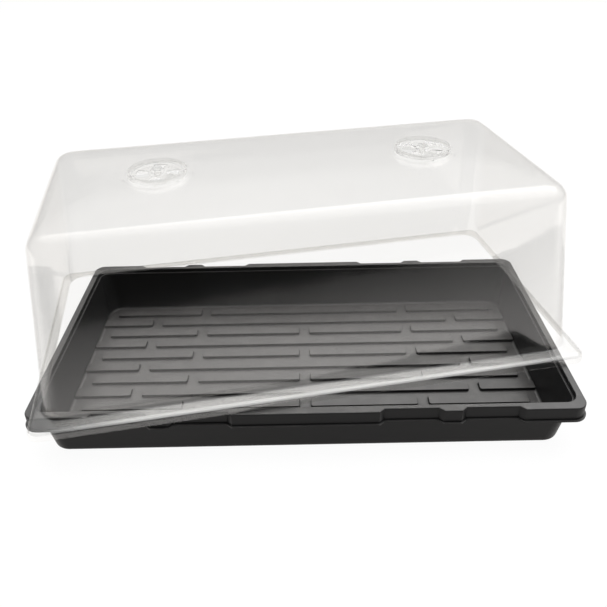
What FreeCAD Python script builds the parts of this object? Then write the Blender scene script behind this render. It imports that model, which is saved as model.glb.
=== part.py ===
"""Humidity dome tray: a black seed tray, a clear dome standing askew on its rim, and two turning roof vents.

Millimetres. The origin is the centre of the tray's underside, +X runs along the tray, +Y to the back, +Z up.
"""

import FreeCAD, Part

import math
import os

V = FreeCAD.Vector
UP = V(0, 0, 1)

# ---- seed tray, the standard 1020 size ----
TRAY_LENGTH = 546.0
TRAY_WIDTH = 280.0
TRAY_HEIGHT = 60.0
TRAY_WALL = 1.5
RIM_CORNER = 12.0
RIM_WIDTH_ENDS = 7.0
RIM_WIDTH_SIDES = 9.5
RIM_EDGE = 1.3
RIM_INNER_EDGE = 0.9
LEDGE_DROP = 5.0
LEDGE_WIDTH = 2.2
WALL_LEAN_LENGTH = 3.3
WALL_LEAN_WIDTH = 2.8
TUB_CORNER_TOP = 10.0
TUB_CORNER_BASE = 18.0
BASE_EDGE = 5.0
SKIRT_HEIGHT = 16.0
SKIRT_FLARE = 0.6
LIP_WIDTH = 2.0
STEP_DEPTH = 4.5
STEP_RAMP = 5.0
STEPS = [(71.5, 134.0), (151.0, 212.0)]

# ---- raised bars on the tray's floor ----
BAR_PITCH = 22.0
BAR_WIDTH = 14.0
BAR_HEIGHT = 3.0
BAR_LEAN = 0.7
BAR_CORNER = 2.0
BAR_ROWS_EACH_WAY = 5
BAR_INSET = 13.5
BAR_GAP = 12.0
QUARTER_GAP_AT = 130.0
SHORT_GAP_AT = 191.0

# ---- dome ----
DOME_LENGTH = 558.0
DOME_WIDTH = 285.0
DOME_WALL = 0.8
FLANGE_WIDTH_ENDS = 12.0
FLANGE_WIDTH_SIDES = 14.5
FLANGE_CORNER = 12.0
DOME_SKIRT = 10.0
DOME_SKIRT_FLARE = 1.0
FLANGE_EDGE = 5.5
FLANGE_ROOT = 3.0
SHOULDER_HEIGHT = 173.5
SHOULDER_LENGTH = 486.0
SHOULDER_WIDTH = 217.0
WALL_CORNER_BASE = 20.0
WALL_CORNER_TOP = 22.0
SHOULDER_EDGE = 17.0
PANEL_RISE = 5.0
PANEL_LENGTH = 376.0
PANEL_WIDTH = 60.0
PANEL_CORNER = 16.0
PANEL_BLEND = 0.15
PANEL_BLEND_STEPS = 3
ROOF_Z = SHOULDER_HEIGHT + PANEL_RISE

# ---- how the dome stands on the tray ----
DOME_YAW = 10.2
DOME_SHIFT_X = -6.5
DOME_SHIFT_Y = 18.2
REST_GAP = 0.3

# ---- vents ----
VENT_SPACING = 266.0
SEAT_RADIUS = 33.0
SEAT_RISE = 1.2
SEAT_SLOPE = 1.0
SEAT_SINK = 0.6
SEAT_Z = ROOF_Z + SEAT_RISE
SLOTS = 4
SLOT_SPAN = 40.0
SLOT_INNER = 8.5
SLOT_OUTER = 20.5
STOP_RADIUS = 0.9
STOP_HEIGHT = 2.2
STOP_EDGE = 0.45
STOP_AT = 30.6
OPEN_TURN = 45.0
STOP_MARGIN = 4.5
DIAL_RADIUS = 28.0
DIAL_PLATE = 1.4
DIAL_RIM = 1.8
DIAL_RIM_HEIGHT = 5.0
DIAL_RIM_EDGE = 0.6
DIAL_STEP_RADIUS = 24.6
DIAL_STEP_WIDTH = 1.2
DIAL_STEP_HEIGHT = 2.6
HUB_RADIUS = 6.8
HUB_HEIGHT = 4.0
HUB_EDGE = 0.8
DIAL_GAP = 0.3
DIAL_Z = SEAT_Z + DIAL_GAP
EAR_WIDTH = 2.4
EAR_REACH = 31.0
TAB_LENGTH = 13.0
TAB_THICKNESS = 1.8
TAB_HEIGHT = 6.5
TAB_AT = 22.0
TAB_EDGE = 0.5
GRIP_COUNT = 40
GRIP_RADIUS = 0.8
GRIP_AT = DIAL_RADIUS + GRIP_RADIUS / 2
CLOSED_TAB_ANGLE = -90.0
LEFT_VENT_OPEN = 36.0
RIGHT_VENT_OPEN = 0.0
RIVET_SHANK = 3.0
RIVET_SPIGOT = 2.4
RIVET_CLEARANCE = 0.08
RIVET_HEAD = 5.2
RIVET_HEAD_HEIGHT = 1.8
RIVET_HEAD_EDGE = 1.4
RIVET_BARB = 3.6
RIVET_BARB_LENGTH = 2.4
RIVET_BARB_TIP = 1.9


def stepped_side(half_x, half_y, corner, step):
    """Corner points of the front long side, left to right, stepped inward by step where STEPS says."""
    points = [(corner - half_x, -half_y)]
    spans = [(-far, -near) for near, far in reversed(STEPS)] + STEPS
    if step:
        for left, right in spans:
            points.append((left, -half_y))
            points.append((left + STEP_RAMP, step - half_y))
            points.append((right - STEP_RAMP, step - half_y))
            points.append((right, -half_y))
    points.append((half_x - corner, -half_y))
    return points


def outline(half_x, half_y, corner, z, step=0.0):
    """Closed rounded rectangle at height z, the same under half a turn."""
    side = [V(x, y, z) for x, y in stepped_side(half_x, half_y, corner, step)]
    half = [Part.makeLine(a, b) for a, b in zip(side, side[1:])]
    half.append(Part.makeCircle(corner, V(half_x - corner, corner - half_y, z), UP, -90, 0))
    half.append(Part.makeLine(V(half_x, corner - half_y, z), V(half_x, half_y - corner, z)))
    half.append(Part.makeCircle(corner, V(half_x - corner, half_y - corner, z), UP, 0, 90))
    return Part.Wire(half + [edge.rotated(V(0, 0, z), UP, 180) for edge in half])


def loft(*wires):
    """Solid with straight sides between outlines at different heights."""
    return Part.makeLoft(list(wires), True, True)


def edges_where(solid, test):
    """Edges of solid for which test(edge) holds."""
    return [edge for edge in solid.Edges if test(edge)]


def level(z, tolerance=0.01):
    """Test for an edge that lies wholly at height z."""

    def at_height(edge):
        box = edge.BoundBox
        return abs(box.ZMin - z) < tolerance and abs(box.ZMax - z) < tolerance

    return at_height


def round_level(solid, z, radius, keep=None):
    """Solid with its edges at height z rounded, or only those that keep(edge) picks."""
    at_height = level(z)
    chosen = edges_where(solid, lambda edge: at_height(edge) and (keep is None or keep(edge)))
    return solid.makeFillet(radius, chosen)


# ---- seed tray ----
def bar_spans():
    """Rows of floor bars as (row centre y, [(x0, x1), ...])."""
    end = TRAY_LENGTH / 2 - RIM_WIDTH_ENDS - LEDGE_WIDTH - WALL_LEAN_LENGTH
    inset = end - BAR_INSET
    half_gap = BAR_GAP / 2
    rows = []
    for index in range(-BAR_ROWS_EACH_WAY, BAR_ROWS_EACH_WAY + 1):
        outermost = abs(index) == BAR_ROWS_EACH_WAY
        if index % 2 == 0:
            breaks = [-SHORT_GAP_AT, SHORT_GAP_AT]
            first = -end
        elif outermost:
            breaks = [-QUARTER_GAP_AT, QUARTER_GAP_AT]
            first = -inset
        else:
            breaks = [-QUARTER_GAP_AT, 0.0, QUARTER_GAP_AT]
            first = -inset
        starts = [first] + [x + half_gap for x in breaks]
        stops = [x - half_gap for x in breaks] + [-first]
        rows.append((index * BAR_PITCH, list(zip(starts, stops))))
    return rows


def bar(x0, x1, y, z0, z1, shrink):
    """One raised bar from z0 to z1 with leaning sides, pulled in by shrink all round."""
    half_x = (x1 - x0) / 2 - shrink
    half_y = BAR_WIDTH / 2 - shrink
    foot = outline(half_x, half_y, BAR_CORNER, z0)
    top = outline(half_x - BAR_LEAN, half_y - BAR_LEAN, BAR_CORNER, z1)
    solid = loft(foot, top)
    solid.translate(V((x0 + x1) / 2, y, 0))
    return solid


def seed_tray():
    """Tray shell: rim, skirt with lip, stepped ledge, leaning walls and a floor of hollow raised bars."""
    half_x = TRAY_LENGTH / 2
    half_y = TRAY_WIDTH / 2
    wall = TRAY_WALL
    skirt_z = TRAY_HEIGHT - SKIRT_HEIGHT
    flare = SKIRT_FLARE

    cap = loft(
        outline(half_x + flare, half_y + flare, RIM_CORNER + flare, skirt_z, STEP_DEPTH),
        outline(half_x, half_y, RIM_CORNER, TRAY_HEIGHT, STEP_DEPTH),
    )
    cap = round_level(cap, TRAY_HEIGHT, RIM_EDGE)
    lip_out = flare + LIP_WIDTH
    lip_x = half_x + lip_out
    lip_y = half_y + lip_out
    lip_corner = RIM_CORNER + lip_out
    lip_low = outline(lip_x, lip_y, lip_corner, skirt_z, STEP_DEPTH)
    lip_high = outline(lip_x, lip_y, lip_corner, skirt_z + wall, STEP_DEPTH)
    hollow_low = outline(
        half_x + flare - wall, half_y + flare - wall, RIM_CORNER + flare - wall, skirt_z, STEP_DEPTH
    )
    hollow_high = outline(
        half_x - wall, half_y - wall, RIM_CORNER - wall, TRAY_HEIGHT - wall, STEP_DEPTH
    )
    rim = cap.fuse(loft(lip_low, lip_high)).cut(loft(hollow_low, hollow_high))

    ledge_x = half_x - RIM_WIDTH_ENDS
    ledge_y = half_y - RIM_WIDTH_SIDES
    ledge_z = TRAY_HEIGHT - LEDGE_DROP
    ledge_corner = TUB_CORNER_TOP + LEDGE_WIDTH
    top_x = ledge_x - LEDGE_WIDTH
    top_y = ledge_y - LEDGE_WIDTH
    base_x = top_x - WALL_LEAN_LENGTH
    base_y = top_y - WALL_LEAN_WIDTH

    collar = loft(
        outline(ledge_x + wall, ledge_y + wall, ledge_corner + wall, ledge_z - wall),
        outline(ledge_x + wall, ledge_y + wall, ledge_corner + wall, TRAY_HEIGHT - wall / 2),
    )
    tub = loft(
        outline(base_x + wall, base_y + wall, TUB_CORNER_BASE + wall, 0),
        outline(top_x + wall, top_y + wall, TUB_CORNER_TOP + wall, ledge_z),
    )
    tub = round_level(tub, 0, BASE_EDGE)
    mouth = loft(
        outline(ledge_x, ledge_y, ledge_corner, ledge_z),
        outline(ledge_x, ledge_y, ledge_corner, TRAY_HEIGHT + wall),
    )
    inside = loft(
        outline(base_x, base_y, TUB_CORNER_BASE, wall),
        outline(top_x, top_y, TUB_CORNER_TOP, ledge_z),
    )
    inside = round_level(inside, wall, BASE_EDGE - wall)

    def at_mouth(edge):
        box = edge.BoundBox
        reach_x = max(abs(box.XMin), abs(box.XMax))
        reach_y = max(abs(box.YMin), abs(box.YMax))
        return reach_x < ledge_x + wall / 2 and reach_y < ledge_y + wall / 2

    tray = rim.fuse([collar, tub]).cut(mouth)
    tray = round_level(tray, TRAY_HEIGHT, RIM_INNER_EDGE, at_mouth).cut(inside)
    raised = []
    recesses = []
    recess_end = base_x - BASE_EDGE
    for y, spans in bar_spans():
        for x0, x1 in spans:
            raised.append(bar(x0, x1, y, wall / 2, wall + BAR_HEIGHT, 0))
            recess_x0 = max(x0, -recess_end)
            recess_x1 = min(x1, recess_end)
            recesses.append(bar(recess_x0, recess_x1, y, 0, BAR_HEIGHT, wall))
    tray = tray.fuse(raised).cut(Part.makeCompound(recesses))
    return tray.removeSplitter()


# ---- dome ----
def roof_outlines(low_x, low_y, low_corner, low_z):
    """Outlines of the hipped roof above the shoulder, where it eases over into the flat middle panel."""
    high_x = PANEL_LENGTH / 2
    high_y = PANEL_WIDTH / 2
    wires = []
    for step in range(PANEL_BLEND_STEPS + 1):
        climbed = step / PANEL_BLEND_STEPS
        down_hip = PANEL_BLEND * (1 - 2 * climbed)
        half_x = high_x + (low_x - high_x) * down_hip
        half_y = high_y + (low_y - high_y) * down_hip
        corner = PANEL_CORNER + (low_corner - PANEL_CORNER) * down_hip
        drop = PANEL_RISE * PANEL_BLEND * (1 - climbed) ** 2
        wires.append(outline(half_x, half_y, corner, low_z + PANEL_RISE - drop))
    return wires


def dome_block(inset, low_z):
    """Solid of the dome's outside, pulled in by inset: skirt, leaning walls, rounded shoulders, hipped roof."""
    half_x = DOME_LENGTH / 2 - inset
    half_y = DOME_WIDTH / 2 - inset
    corner = FLANGE_CORNER - inset
    flare = DOME_SKIRT_FLARE
    skirt = loft(
        outline(half_x + flare, half_y + flare, corner + flare, low_z),
        outline(half_x, half_y, corner, -inset),
    )
    skirt = round_level(skirt, -inset, FLANGE_EDGE - inset)

    foot_x = half_x - FLANGE_WIDTH_ENDS
    foot_y = half_y - FLANGE_WIDTH_SIDES
    shoulder_z = SHOULDER_HEIGHT - inset
    top_x = SHOULDER_LENGTH / 2 - inset
    top_y = SHOULDER_WIDTH / 2 - inset
    top_corner = WALL_CORNER_TOP - inset
    body = loft(
        outline(foot_x, foot_y, WALL_CORNER_BASE - inset, -inset),
        outline(top_x, top_y, top_corner, shoulder_z),
        *roof_outlines(top_x, top_y, top_corner, shoulder_z),
    )
    body = round_level(body, shoulder_z, SHOULDER_EDGE - inset)
    block = skirt.fuse(body).removeSplitter()

    def at_root(edge):
        return edge.BoundBox.XMax < foot_x + inset and edge.BoundBox.XMin > -foot_x - inset

    return round_level(block, -inset, FLANGE_ROOT + inset, at_root)


def polar(radius, angle, z=0.0):
    """Point at radius and angle, in degrees, about the Z axis."""
    return V(radius * math.cos(math.radians(angle)), radius * math.sin(math.radians(angle)), z)


def ring_sector(inner, outer, centre_angle, span, z0, z1):
    """Solid sector of a ring from z0 to z1."""
    start = centre_angle - span / 2
    stop = centre_angle + span / 2
    outside = Part.makeCircle(outer, V(0, 0, z0), UP, start, stop)
    inside = Part.makeCircle(inner, V(0, 0, z0), UP, start, stop)
    side_a = Part.makeLine(polar(inner, start, z0), polar(outer, start, z0))
    side_b = Part.makeLine(polar(outer, stop, z0), polar(inner, stop, z0))
    wire = Part.Wire(Part.__sortEdges__([side_a, outside, side_b, inside]))
    return Part.Face(wire).extrude(V(0, 0, z1 - z0))


def slots(first_angle, z0, z1):
    """Air slots as a list of ring sectors."""
    step = 360.0 / SLOTS
    return [
        ring_sector(SLOT_INNER, SLOT_OUTER, first_angle + step * i, SLOT_SPAN, z0, z1)
        for i in range(SLOTS)
    ]


def cylinder(radius, z0, z1):
    return Part.makeCylinder(radius, z1 - z0, V(0, 0, z0))


def seat_block(inset):
    """Raised round seat on the roof panel, pulled in by inset."""
    low = ROOF_Z - inset - SEAT_SINK
    slope = SEAT_SLOPE * (SEAT_RISE + SEAT_SINK) / SEAT_RISE
    return Part.makeCone(
        SEAT_RADIUS + slope - inset, SEAT_RADIUS - inset, SEAT_Z - inset - low, V(0, 0, low)
    )


def humidity_dome():
    """Clear shell: skirt and flange, leaning walls, hipped roof, two vent seats with air slots and stops."""
    outside = dome_block(0, -DOME_SKIRT)
    inside = dome_block(DOME_WALL, -DOME_SKIRT)
    seats = []
    hollows = []
    stops = []
    for x in (-VENT_SPACING / 2, VENT_SPACING / 2):
        place = V(x, 0, 0)
        seats.append(seat_block(0).translated(place))
        hollows.append(seat_block(DOME_WALL).translated(place))
        for solid in slots(0, SEAT_Z - 2 * DOME_WALL, SEAT_Z + DOME_WALL):
            hollows.append(solid.translated(place))
        hole = cylinder(RIVET_SPIGOT + RIVET_CLEARANCE, SEAT_Z - 2 * DOME_WALL, SEAT_Z + DOME_WALL)
        hollows.append(hole.translated(place))
        for angle in (CLOSED_TAB_ANGLE - STOP_MARGIN, CLOSED_TAB_ANGLE + OPEN_TURN + STOP_MARGIN):
            stop = cylinder(STOP_RADIUS, SEAT_Z - DOME_WALL / 2, SEAT_Z + STOP_HEIGHT)
            stop = round_level(stop, SEAT_Z + STOP_HEIGHT, STOP_EDGE)
            stops.append(stop.translated(place + polar(STOP_AT, angle)))
    dome = outside.fuse(seats).cut(inside).cut(Part.makeCompound(hollows)).fuse(stops)
    return dome.removeSplitter()


# ---- vents ----
def vent_dial(open_turn):
    """Turning vent dial about its own axis: slotted plate, step ring, gripped rim, hub, ear and finger tab."""
    hub_z = DIAL_Z + HUB_HEIGHT
    rim_z = DIAL_Z + DIAL_RIM_HEIGHT
    step_z = DIAL_Z + DIAL_STEP_HEIGHT
    plate = cylinder(DIAL_RADIUS, DIAL_Z, DIAL_Z + DIAL_PLATE)
    rim = cylinder(DIAL_RADIUS, DIAL_Z, rim_z).cut(cylinder(DIAL_RADIUS - DIAL_RIM, DIAL_Z, rim_z))
    rim = round_level(rim, rim_z, DIAL_RIM_EDGE)
    step = cylinder(DIAL_STEP_RADIUS, DIAL_Z, step_z)
    step = step.cut(cylinder(DIAL_STEP_RADIUS - DIAL_STEP_WIDTH, DIAL_Z, step_z))
    hub = round_level(cylinder(HUB_RADIUS, DIAL_Z, hub_z), hub_z, HUB_EDGE)

    tab_x = TAB_AT - TAB_THICKNESS / 2
    tab = Part.makeBox(TAB_THICKNESS, TAB_LENGTH, TAB_HEIGHT, V(tab_x, -TAB_LENGTH / 2, DIAL_Z))
    tab = tab.makeFillet(TAB_EDGE, tab.Edges)
    rib_length = DIAL_RADIUS - DIAL_RIM / 2 - TAB_AT
    rib = Part.makeBox(
        rib_length, TAB_THICKNESS, DIAL_RIM_HEIGHT - TAB_EDGE, V(TAB_AT, -TAB_THICKNESS / 2, DIAL_Z)
    )
    ear_start = DIAL_RADIUS - DIAL_RIM / 2
    ear = Part.makeBox(
        EAR_REACH - ear_start, EAR_WIDTH, DIAL_PLATE, V(ear_start, -EAR_WIDTH / 2, DIAL_Z)
    )
    dial = plate.fuse([rim, step, hub, tab, rib, ear])

    grips = []
    for i in range(GRIP_COUNT):
        angle = 360.0 * (i + 0.5) / GRIP_COUNT
        groove = cylinder(GRIP_RADIUS, DIAL_Z + DIAL_PLATE, rim_z + DIAL_PLATE)
        grips.append(groove.translated(polar(GRIP_AT, angle)))
    bore = cylinder(RIVET_SHANK + RIVET_CLEARANCE, DIAL_Z - DIAL_PLATE, hub_z + DIAL_PLATE)
    dial = dial.cut(Part.makeCompound(slots(OPEN_TURN, DIAL_Z - DIAL_PLATE, DIAL_Z + DIAL_PLATE)))
    dial = dial.cut(Part.makeCompound(grips + [bore])).removeSplitter()
    return dial.rotated(V(0, 0, 0), UP, CLOSED_TAB_ANGLE + open_turn)


def vent_rivet():
    """Snap rivet about its own axis: low round head, shoulder shank, spigot through the roof and barb below."""
    roof_under = SEAT_Z - DOME_WALL
    head_z = DIAL_Z + HUB_HEIGHT + DIAL_GAP
    head_top = head_z + RIVET_HEAD_HEIGHT
    head = cylinder(RIVET_HEAD, head_z, head_top)
    head = round_level(head, head_top, RIVET_HEAD_EDGE)
    shank = cylinder(RIVET_SHANK, SEAT_Z, head_z)
    spigot = cylinder(RIVET_SPIGOT, roof_under, SEAT_Z)
    barb_low = V(0, 0, roof_under - RIVET_BARB_LENGTH)
    barb = Part.makeCone(RIVET_BARB_TIP, RIVET_BARB, RIVET_BARB_LENGTH, barb_low)
    return head.fuse([shank, spigot, barb]).removeSplitter()


def on_tray(shape, x=0.0):
    """Shape of the dome's own frame, moved by x along it, stood askew on the tray's rim."""
    placed = shape.translated(V(x, 0, 0)).rotated(V(0, 0, 0), UP, DOME_YAW)
    return placed.translated(V(DOME_SHIFT_X, DOME_SHIFT_Y, TRAY_HEIGHT + REST_GAP + DOME_SKIRT))


def build():
    """Every piece by node name, in place."""
    left = -VENT_SPACING / 2
    right = VENT_SPACING / 2
    return {
        "seed_tray": seed_tray(),
        "humidity_dome": on_tray(humidity_dome()),
        "vent_dial_left": on_tray(vent_dial(LEFT_VENT_OPEN), left),
        "vent_dial_right": on_tray(vent_dial(RIGHT_VENT_OPEN), right),
        "vent_rivet_left": on_tray(vent_rivet(), left),
        "vent_rivet_right": on_tray(vent_rivet(), right),
    }


def main():
    os.makedirs("parts", exist_ok=True)
    for name, shape in build().items():
        solid = shape.Solids[0]
        print(name, "solids", len(shape.Solids), "valid", solid.isValid(), "volume", round(solid.Volume))
        solid.exportStep(f"parts/{name}.step")


if __name__ == "__main__":
    main()
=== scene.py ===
"""Looks of the humidity dome tray: black vacuum-formed tray, clear dome, two turning vents.

Metres, in the CAD frame: +X along the tray, +Y to the back, +Z up, origin under the tray's middle.
"""

import math

import bpy
from mathutils import Matrix, Vector


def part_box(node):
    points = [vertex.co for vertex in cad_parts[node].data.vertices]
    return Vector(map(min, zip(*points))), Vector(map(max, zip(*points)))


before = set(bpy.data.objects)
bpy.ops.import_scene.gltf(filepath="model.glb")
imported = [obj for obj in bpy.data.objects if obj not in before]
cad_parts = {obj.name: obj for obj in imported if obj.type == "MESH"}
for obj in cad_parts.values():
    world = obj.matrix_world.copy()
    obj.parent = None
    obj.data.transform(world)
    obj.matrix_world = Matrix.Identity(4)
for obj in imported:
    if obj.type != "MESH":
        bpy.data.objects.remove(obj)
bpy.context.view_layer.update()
scene = bpy.context.scene

# ---- camera ----
CAMERA_AT = (0.001, -0.5676, 0.4861)
CAMERA_YAW = 0.1
CAMERA_PITCH = 34.84
CAMERA_ROLL = -1.17
CAMERA_LENS = 36.83
CAMERA_SENSOR = 36.0

# ---- stage ----
WHITE = (1, 1, 1, 1)
TABLE_HALF_WIDTH = 4.0
TABLE_FRONT = -0.56
TABLE_BACK = 6.0
TABLE_GLOW = 0.955
TABLE_SHADED = (0.05, 0.05, 0.05, 1)
TABLE_BOUNCE = (0.26, 0.26, 0.26, 1)
# Painted reflection: seen only in reflections, the table ahead of the tray glows, up to brighter than
# white, in a band that fades towards its front edge.
TABLE_PAINTED_REFLECTION = 1.42
PAINTED_REFLECTION_FROM = -0.10
PAINTED_REFLECTION_STOPS = [(0.0, 0.60), (0.22, 0.95), (0.45, 0.85), (1.0, 0.25)]
PAINTED_REFLECTION_TINT = (1, 0.975, 0.955, 1)
STUDIO_STRENGTH = 2.4
STUDIO_STOPS = [(0.0, 0.01), (0.14, 0.10), (0.30, 0.16), (0.56, 0.24), (0.72, 0.95), (1.0, 1.0)]
STUDIO_FROM_RIGHT = 0.6
STUDIO_FROM_BEHIND = 0.75
STUDIO_ALL_ROUND = 0.40
SOFTBOX_AT = (0.0, 0.50, 1.7)
SOFTBOX_SIZE = (2.6, 2.4)
SOFTBOX_RADIANCE = 2.9

# ---- dome ----
SHEET_IOR = 1.5
MIRROR_LIMIT = 0.17
SHEET_GLOSS = 0.11
SHEET_WAVE_SCALE = 7.0
SHEET_WAVE_DEPTH = 0.004
SHEET_RIPPLE_SCALE = 45.0
SHEET_RIPPLE_DEPTH = 0.0006
SHEET_HAZE_SCALE = 5.0
SHEET_HAZE_STOPS = [(0.35, 0.002), (0.75, 0.008)]
SHEET_TINT_WARM = (0.993, 0.990, 0.985, 1)
SHEET_TINT_GREY = (0.985, 0.982, 0.976, 1)
SHEET_MILK = (0.88, 0.88, 0.87, 1)
DOME_YAW = math.radians(10.2)
# Milky band at the flange fold: a faint even fold whitening all round, plus a painted highlight strongest
# along the middle of the front.
FOLD_ZONE = 0.012
FOLD_AND_HIGHLIGHT_STOPS = [(0.0, 0.02), (0.55, 0.03), (0.59, 0.72), (0.74, 0.82), (0.79, 0.01), (1.0, 0.0)]
PAINTED_HIGHLIGHT_FRONT = (-0.10, -0.13)
PAINTED_HIGHLIGHT_FADE = (0.27, 0.18)
PAINTED_HIGHLIGHT_SHARE = 0.88
FOLD_WHITENING_SHARE = 0.12

# ---- vents ----
VENT_TINT = (0.93, 0.93, 0.925, 1)
VENT_SHADOW_TINT = (0.9, 0.9, 0.9, 1)
VENT_IOR = 1.06
VENT_COAT = 0.6
VENT_COAT_IOR = 1.4
VENT_COAT_ROUGHNESS = 0.06
VENT_GRAIN_SCALE = 160.0
VENT_GRAIN_DEPTH = 0.0003
VENT_POLISH_SCALE = 90.0
VENT_POLISH_STOPS = [(0.3, 0.03), (0.8, 0.12)]

# ---- tray ----
TRAY_IOR = 1.5
TRAY_DARK = (0.013, 0.013, 0.0135, 1)
TRAY_LIGHT = (0.019, 0.019, 0.0195, 1)
TRAY_ROUGHNESS = 0.30
TRAY_WALL_SHINE = 0.15
TRAY_FLAT_SHINE = 0.85
FLAT_STOPS = [(0.35, 0.0), (0.97, 1.0)]
PATCH_SCALE = 9.0
PATCH_ROUGHNESS = 0.12
SCUFF_SCALE = 260.0
SCUFF_STOPS = [(0.56, 0.0), (0.74, 1.0)]
SCUFF_ROUGHNESS = 0.14
# Up-facing surfaces are lightened towards this grey. This is partly real dust and partly painted top
# light, since every up-facing surface gets at least a fixed share.
DUST_AND_TOP_LIGHT_COLOUR = (0.105, 0.102, 0.099, 1)
DUST_SCALE = 60.0
DUST_STOPS = [(0.45, 0.0), (0.8, 1.0)]
TOP_LIGHT_LEAST = 0.34
DUST_SPREAD = 0.32
# Painted shade: an ambient-occlusion mask darkens the tray's dust and its shine in creases and recesses.
PAINTED_SHADE_REACH = 0.005
PAINTED_SHADE_SAMPLES = 8
PAINTED_SHADE_STOPS = [(0.35, 0.0), (0.92, 1.0)]
TRAY_WAVE_SCALE = 28.0
TRAY_WAVE_DEPTH = 0.0012
PEEL_SCALE = 900.0
PEEL_DEPTH = 0.00012


# ---- node helpers ----
class Nodes:
    """Short calls for building one node tree."""

    def __init__(self, tree):
        self.tree = tree
        tree.nodes.clear()

    def add(self, kind, values=None, **settings):
        """New node of that kind, with its settings and its inputs given by name or index."""
        node = self.tree.nodes.new(kind)
        for name, value in settings.items():
            setattr(node, name, value)
        for name, value in (values or {}).items():
            if isinstance(value, bpy.types.NodeSocket):
                self.tree.links.new(value, node.inputs[name])
            else:
                node.inputs[name].default_value = value
        return node

    def math(self, operation, a, b=0.0, clamp=False):
        return self.add("ShaderNodeMath", {0: a, 1: b}, operation=operation, use_clamp=clamp).outputs[0]

    def ramp(self, factor, stops):
        """Value ramp through (position, value) stops."""
        node = self.add("ShaderNodeValToRGB", {"Fac": factor})
        elements = node.color_ramp.elements
        while len(elements) < len(stops):
            elements.new(0.5)
        for element, (position, value) in zip(elements, stops):
            element.position = position
            element.color = (value, value, value, 1)
        return node.outputs["Color"]

    def noise(self, vector, scale, detail=3.0, roughness=0.5, distortion=0.0):
        values = {"Vector": vector, "Scale": scale, "Detail": detail}
        values |= {"Roughness": roughness, "Distortion": distortion}
        return self.add("ShaderNodeTexNoise", values).outputs["Fac"]

    def bump(self, height, strength, distance, normal=None):
        values = {"Height": height, "Strength": strength, "Distance": distance}
        if normal is not None:
            values["Normal"] = normal
        return self.add("ShaderNodeBump", values).outputs["Normal"]

    def mix_shader(self, factor, a, b):
        return self.add("ShaderNodeMixShader", {0: factor, 1: a, 2: b}).outputs[0]

    def mix_colour(self, factor, a, b):
        """Blend of two colours, which sit at sockets 6 and 7 of the mix node."""
        return self.add("ShaderNodeMix", {0: factor, 6: a, 7: b}, data_type="RGBA").outputs[2]

    def place(self):
        """Place on the object, in metres."""
        return self.add("ShaderNodeTexCoord").outputs["Object"]

    def parts_of(self, vector):
        """X, Y and Z of a vector."""
        return self.add("ShaderNodeSeparateXYZ", {0: vector}).outputs

    def seen_plainly(self):
        """One for what the eye sees straight or through clear plastic, zero for all other light."""
        path = self.add("ShaderNodeLightPath").outputs
        return self.math("ADD", path["Is Camera Ray"], path["Is Transmission Ray"], clamp=True)


def new_material(name):
    material = bpy.data.materials.new(name)
    material.use_nodes = True
    return material, Nodes(material.node_tree)


def finish_material(nodes, surface):
    nodes.add("ShaderNodeOutputMaterial", {"Surface": surface})


# ---- materials ----
def tray_material():
    """Black vacuum-formed sheet: soft sheen, orange peel, fine scuffs, dust and painted top light on what
    faces up, and painted shade in creases.
    """
    material, n = new_material("tray_black_sheet")
    place = n.place()
    peel = n.noise(place, PEEL_SCALE, 2.0)
    wave = n.noise(place, TRAY_WAVE_SCALE, 2.0)
    patches = n.noise(place, PATCH_SCALE, 4.0, 0.6)
    scuffs = n.ramp(n.noise(place, SCUFF_SCALE, 6.0, 0.75, 1.2), SCUFF_STOPS)
    dust = n.ramp(n.noise(place, DUST_SCALE, 8.0, 0.7), DUST_STOPS)
    facing = n.parts_of(n.add("ShaderNodeNewGeometry").outputs["Normal"])["Z"]
    flat = n.ramp(facing, FLAT_STOPS)
    # Painted shade in creases: ambient occlusion lowers the dust and the shine next to the bars and in
    # corners.
    painted_shade_ao = n.add("ShaderNodeAmbientOcclusion", {"Distance": PAINTED_SHADE_REACH}, samples=PAINTED_SHADE_SAMPLES)
    outside_painted_shade = n.ramp(painted_shade_ao.outputs["AO"], PAINTED_SHADE_STOPS)

    # Partly dust, partly painted top light: what faces up is lightened, and less so in creases (painted
    # shade).
    dust_and_top_light = n.math("ADD", n.math("MULTIPLY", dust, DUST_SPREAD), TOP_LIGHT_LEAST)
    dust_and_top_light = n.math("MULTIPLY", n.math("MULTIPLY", flat, dust_and_top_light), outside_painted_shade)
    base = n.mix_colour(patches, TRAY_DARK, TRAY_LIGHT)
    base = n.mix_colour(dust_and_top_light, base, DUST_AND_TOP_LIGHT_COLOUR)
    rough = n.math("ADD", n.math("MULTIPLY", patches, PATCH_ROUGHNESS), TRAY_ROUGHNESS)
    rough = n.math("ADD", n.math("MULTIPLY", scuffs, SCUFF_ROUGHNESS), rough)
    shine = n.math("ADD", n.math("MULTIPLY", flat, TRAY_FLAT_SHINE), TRAY_WALL_SHINE)
    # Painted shade: the shine is lowered in creases.
    shine = n.math("MULTIPLY", shine, outside_painted_shade)
    normal = n.bump(wave, 0.25, TRAY_WAVE_DEPTH)
    normal = n.bump(peel, 0.12, PEEL_DEPTH, normal)
    values = {"Base Color": base, "Roughness": rough, "IOR": TRAY_IOR}
    values |= {"Specular IOR Level": shine, "Normal": normal}
    finish_material(n, n.add("ShaderNodeBsdfPrincipled", values).outputs[0])
    return material


def sheet_reflection(n, ior, normal):
    """Share of light that a clear sheet mirrors, the same from both sides of its surface."""
    back = n.add("ShaderNodeNewGeometry").outputs["Backfacing"]
    index = n.math("ADD", n.math("MULTIPLY", back, 1.0 / ior - ior), ior)
    return n.add("ShaderNodeFresnel", {"IOR": index, "Normal": normal}).outputs[0]


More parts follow.
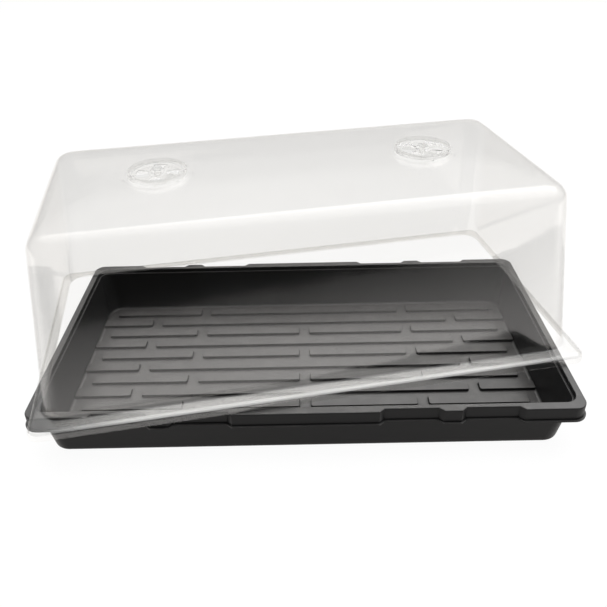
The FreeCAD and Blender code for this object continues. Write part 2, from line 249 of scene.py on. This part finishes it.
def fold_whitening_and_painted_highlight(n, place):
    """Milky band where the sheet was folded to its flange: a faint even fold whitening all round, plus a
    painted highlight strongest along the middle of the front.
    """
    at = n.parts_of(place)
    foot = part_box("humidity_dome")[0][2]
    up = n.math("DIVIDE", n.math("SUBTRACT", at["Z"], foot), FOLD_ZONE, clamp=True)
    band = n.ramp(up, FOLD_AND_HIGHLIGHT_STOPS)
    across = n.math("MULTIPLY", at["Y"], math.cos(DOME_YAW))
    across = n.math("SUBTRACT", across, n.math("MULTIPLY", at["X"], math.sin(DOME_YAW)))
    along = n.math("MULTIPLY", at["X"], math.cos(DOME_YAW))
    along = n.math("ABSOLUTE", n.math("ADD", along, n.math("MULTIPLY", at["Y"], math.sin(DOME_YAW))))
    # Painted highlight: the front middle of the fold band is whitened far more than the rest.
    begins, full = PAINTED_HIGHLIGHT_FRONT
    front = n.math("DIVIDE", n.math("SUBTRACT", across, begins), full - begins, clamp=True)
    end, full = PAINTED_HIGHLIGHT_FADE
    middle = n.math("DIVIDE", n.math("SUBTRACT", end, along), end - full, clamp=True)
    highlight_share = n.math("MULTIPLY", n.math("MULTIPLY", front, middle), PAINTED_HIGHLIGHT_SHARE)
    return n.math("MULTIPLY", band, n.math("ADD", highlight_share, FOLD_WHITENING_SHARE))


def clear_sheet_material():
    """Thin clear formed sheet: mirrors at its surfaces, a trace of grey, haze, a whitened fold and a
    painted highlight along the front of the fold.
    """
    material, n = new_material("dome_clear_sheet")
    place = n.place()
    wave = n.noise(place, SHEET_WAVE_SCALE, 2.0, 0.45)
    ripple = n.noise(place, SHEET_RIPPLE_SCALE, 3.0, 0.5)
    normal = n.bump(wave, 0.35, SHEET_WAVE_DEPTH)
    normal = n.bump(ripple, 0.12, SHEET_RIPPLE_DEPTH, normal)
    mirror = n.math("MINIMUM", sheet_reflection(n, SHEET_IOR, normal), MIRROR_LIMIT)
    haze_and_highlight = n.ramp(n.noise(place, SHEET_HAZE_SCALE, 5.0, 0.6), SHEET_HAZE_STOPS)
    # Adds the fold whitening and its painted highlight to the haze.
    haze_and_highlight = n.math("ADD", haze_and_highlight, fold_whitening_and_painted_highlight(n, place))
    tint = n.mix_colour(wave, SHEET_TINT_WARM, SHEET_TINT_GREY)
    clear = n.add("ShaderNodeBsdfTransparent", {"Color": tint}).outputs[0]
    milky = n.add("ShaderNodeBsdfDiffuse", {"Color": SHEET_MILK}).outputs[0]
    values = {"Color": WHITE, "Roughness": SHEET_GLOSS, "Normal": normal}
    gloss = n.add("ShaderNodeBsdfGlossy", values).outputs[0]
    finish_material(n, n.mix_shader(mirror, n.mix_shader(haze_and_highlight, clear, milky), gloss))
    return material


def moulded_clear_material():
    """Thicker clear moulded plastic of the vent dials and rivets. It lets lamp light through."""
    material, n = new_material("vent_clear_moulding")
    place = n.place()
    normal = n.bump(n.noise(place, VENT_GRAIN_SCALE, 3.0), 0.1, VENT_GRAIN_DEPTH)
    rough = n.ramp(n.noise(place, VENT_POLISH_SCALE, 4.0), VENT_POLISH_STOPS)
    glass = n.add(
        "ShaderNodeBsdfPrincipled",
        {
            "Base Color": VENT_TINT,
            "Roughness": rough,
            "IOR": VENT_IOR,
            "Coat Weight": VENT_COAT,
            "Coat Roughness": VENT_COAT_ROUGHNESS,
            "Coat IOR": VENT_COAT_IOR,
            "Transmission Weight": 1.0,
            "Normal": normal,
        },
    ).outputs[0]
    lamp_way = n.add("ShaderNodeBsdfTransparent", {"Color": VENT_SHADOW_TINT}).outputs[0]
    shadow = n.add("ShaderNodeLightPath").outputs["Is Shadow Ray"]
    finish_material(n, n.mix_shader(shadow, glass, lamp_way))
    return material


def dress(node, material):
    """Gives a CAD node its material."""
    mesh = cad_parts[node].data
    mesh.materials.clear()
    mesh.materials.append(material)


# ---- stage and light ----
def table_material():
    """White table: evenly lit to the eye with a faint shadow, pale grey in its bounce light on the object,
    and a glowing band ahead of the tray seen only in reflections (painted reflection).
    """
    material, n = new_material("table_white")
    ahead = n.math("SUBTRACT", PAINTED_REFLECTION_FROM, n.parts_of(n.place())["Y"])
    ahead = n.math("DIVIDE", ahead, PAINTED_REFLECTION_FROM - TABLE_FRONT, clamp=True)
    # Painted reflection: for glossy rays the table ahead of the tray is a glowing band.
    painted_reflection_strength = n.math("MULTIPLY", n.ramp(ahead, PAINTED_REFLECTION_STOPS), TABLE_PAINTED_REFLECTION)
    painted_reflection = n.add("ShaderNodeEmission", {"Color": PAINTED_REFLECTION_TINT, "Strength": painted_reflection_strength}).outputs[0]
    bounce = n.add("ShaderNodeBsdfDiffuse", {"Color": TABLE_BOUNCE}).outputs[0]
    glossy = n.add("ShaderNodeLightPath").outputs["Is Glossy Ray"]
    unseen = n.mix_shader(glossy, bounce, painted_reflection)
    shadow = n.add("ShaderNodeBsdfDiffuse", {"Color": TABLE_SHADED}).outputs[0]
    glow = n.add("ShaderNodeEmission", {"Strength": TABLE_GLOW}).outputs[0]
    eye = n.add("ShaderNodeAddShader", {0: glow, 1: shadow}).outputs[0]
    finish_material(n, n.mix_shader(n.seen_plainly(), unseen, eye))
    return material


def build_table():
    mesh = bpy.data.meshes.new("table")
    corners = [
        (-TABLE_HALF_WIDTH, TABLE_FRONT, 0),
        (TABLE_HALF_WIDTH, TABLE_FRONT, 0),
        (TABLE_HALF_WIDTH, TABLE_BACK, 0),
        (-TABLE_HALF_WIDTH, TABLE_BACK, 0),
    ]
    mesh.from_pydata(corners, [], [(0, 1, 2, 3)])
    mesh.materials.append(table_material())
    table = bpy.data.objects.new("table", mesh)
    scene.collection.objects.link(table)


def build_world():
    """Plain white to the eye; otherwise a studio, bright above, behind and to the right."""
    world = bpy.data.worlds.new("studio")
    world.use_nodes = True
    scene.world = world
    n = Nodes(world.node_tree)
    way = n.parts_of(n.add("ShaderNodeTexCoord").outputs["Generated"])
    from_behind = n.math("MULTIPLY", way["Y"], STUDIO_FROM_BEHIND)
    from_right = n.math("MULTIPLY", way["X"], STUDIO_FROM_RIGHT)
    side = n.math("ADD", n.math("ADD", from_behind, from_right), STUDIO_ALL_ROUND, clamp=True)
    glow = n.math("MULTIPLY", n.ramp(way["Z"], STUDIO_STOPS), side)
    studio = n.add("ShaderNodeBackground", {"Color": glow, "Strength": STUDIO_STRENGTH}).outputs[0]
    backdrop = n.add("ShaderNodeBackground", {"Color": WHITE}).outputs[0]
    n.add("ShaderNodeOutputWorld", {"Surface": n.mix_shader(n.seen_plainly(), studio, backdrop)})


def build_softbox():
    """Wide overhead light, reaching well back, kept out of reflections."""
    data = bpy.data.lights.new("softbox", "AREA")
    data.shape = "RECTANGLE"
    data.size, data.size_y = SOFTBOX_SIZE
    data.energy = SOFTBOX_RADIANCE * math.pi * data.size * data.size_y
    lamp = bpy.data.objects.new("softbox", data)
    lamp.location = SOFTBOX_AT
    lamp.visible_glossy = False
    scene.collection.objects.link(lamp)


def build_camera():
    yaw, pitch, roll = (math.radians(a) for a in (CAMERA_YAW, CAMERA_PITCH, CAMERA_ROLL))
    right = Vector((math.cos(yaw), math.sin(yaw), 0))
    forward = Vector((-math.sin(yaw) * math.cos(pitch), math.cos(yaw) * math.cos(pitch), -math.sin(pitch)))
    up = right.cross(forward)
    x_axis = math.cos(roll) * right + math.sin(roll) * up
    y_axis = math.cos(roll) * up - math.sin(roll) * right
    turn = Matrix((x_axis, y_axis, -forward)).transposed().to_4x4()
    data = bpy.data.cameras.new("camera")
    data.sensor_width = CAMERA_SENSOR
    data.lens = CAMERA_LENS
    camera = bpy.data.objects.new("camera", data)
    camera.matrix_world = Matrix.Translation(CAMERA_AT) @ turn
    scene.collection.objects.link(camera)
    scene.camera = camera


dress("seed_tray", tray_material())
dress("humidity_dome", clear_sheet_material())
vent_material = moulded_clear_material()
for vent in ("left", "right"):
    dress(f"vent_dial_{vent}", vent_material)
    dress(f"vent_rivet_{vent}", vent_material)

build_table()
build_world()
build_softbox()
build_camera()
scene.view_settings.view_transform = "Standard"
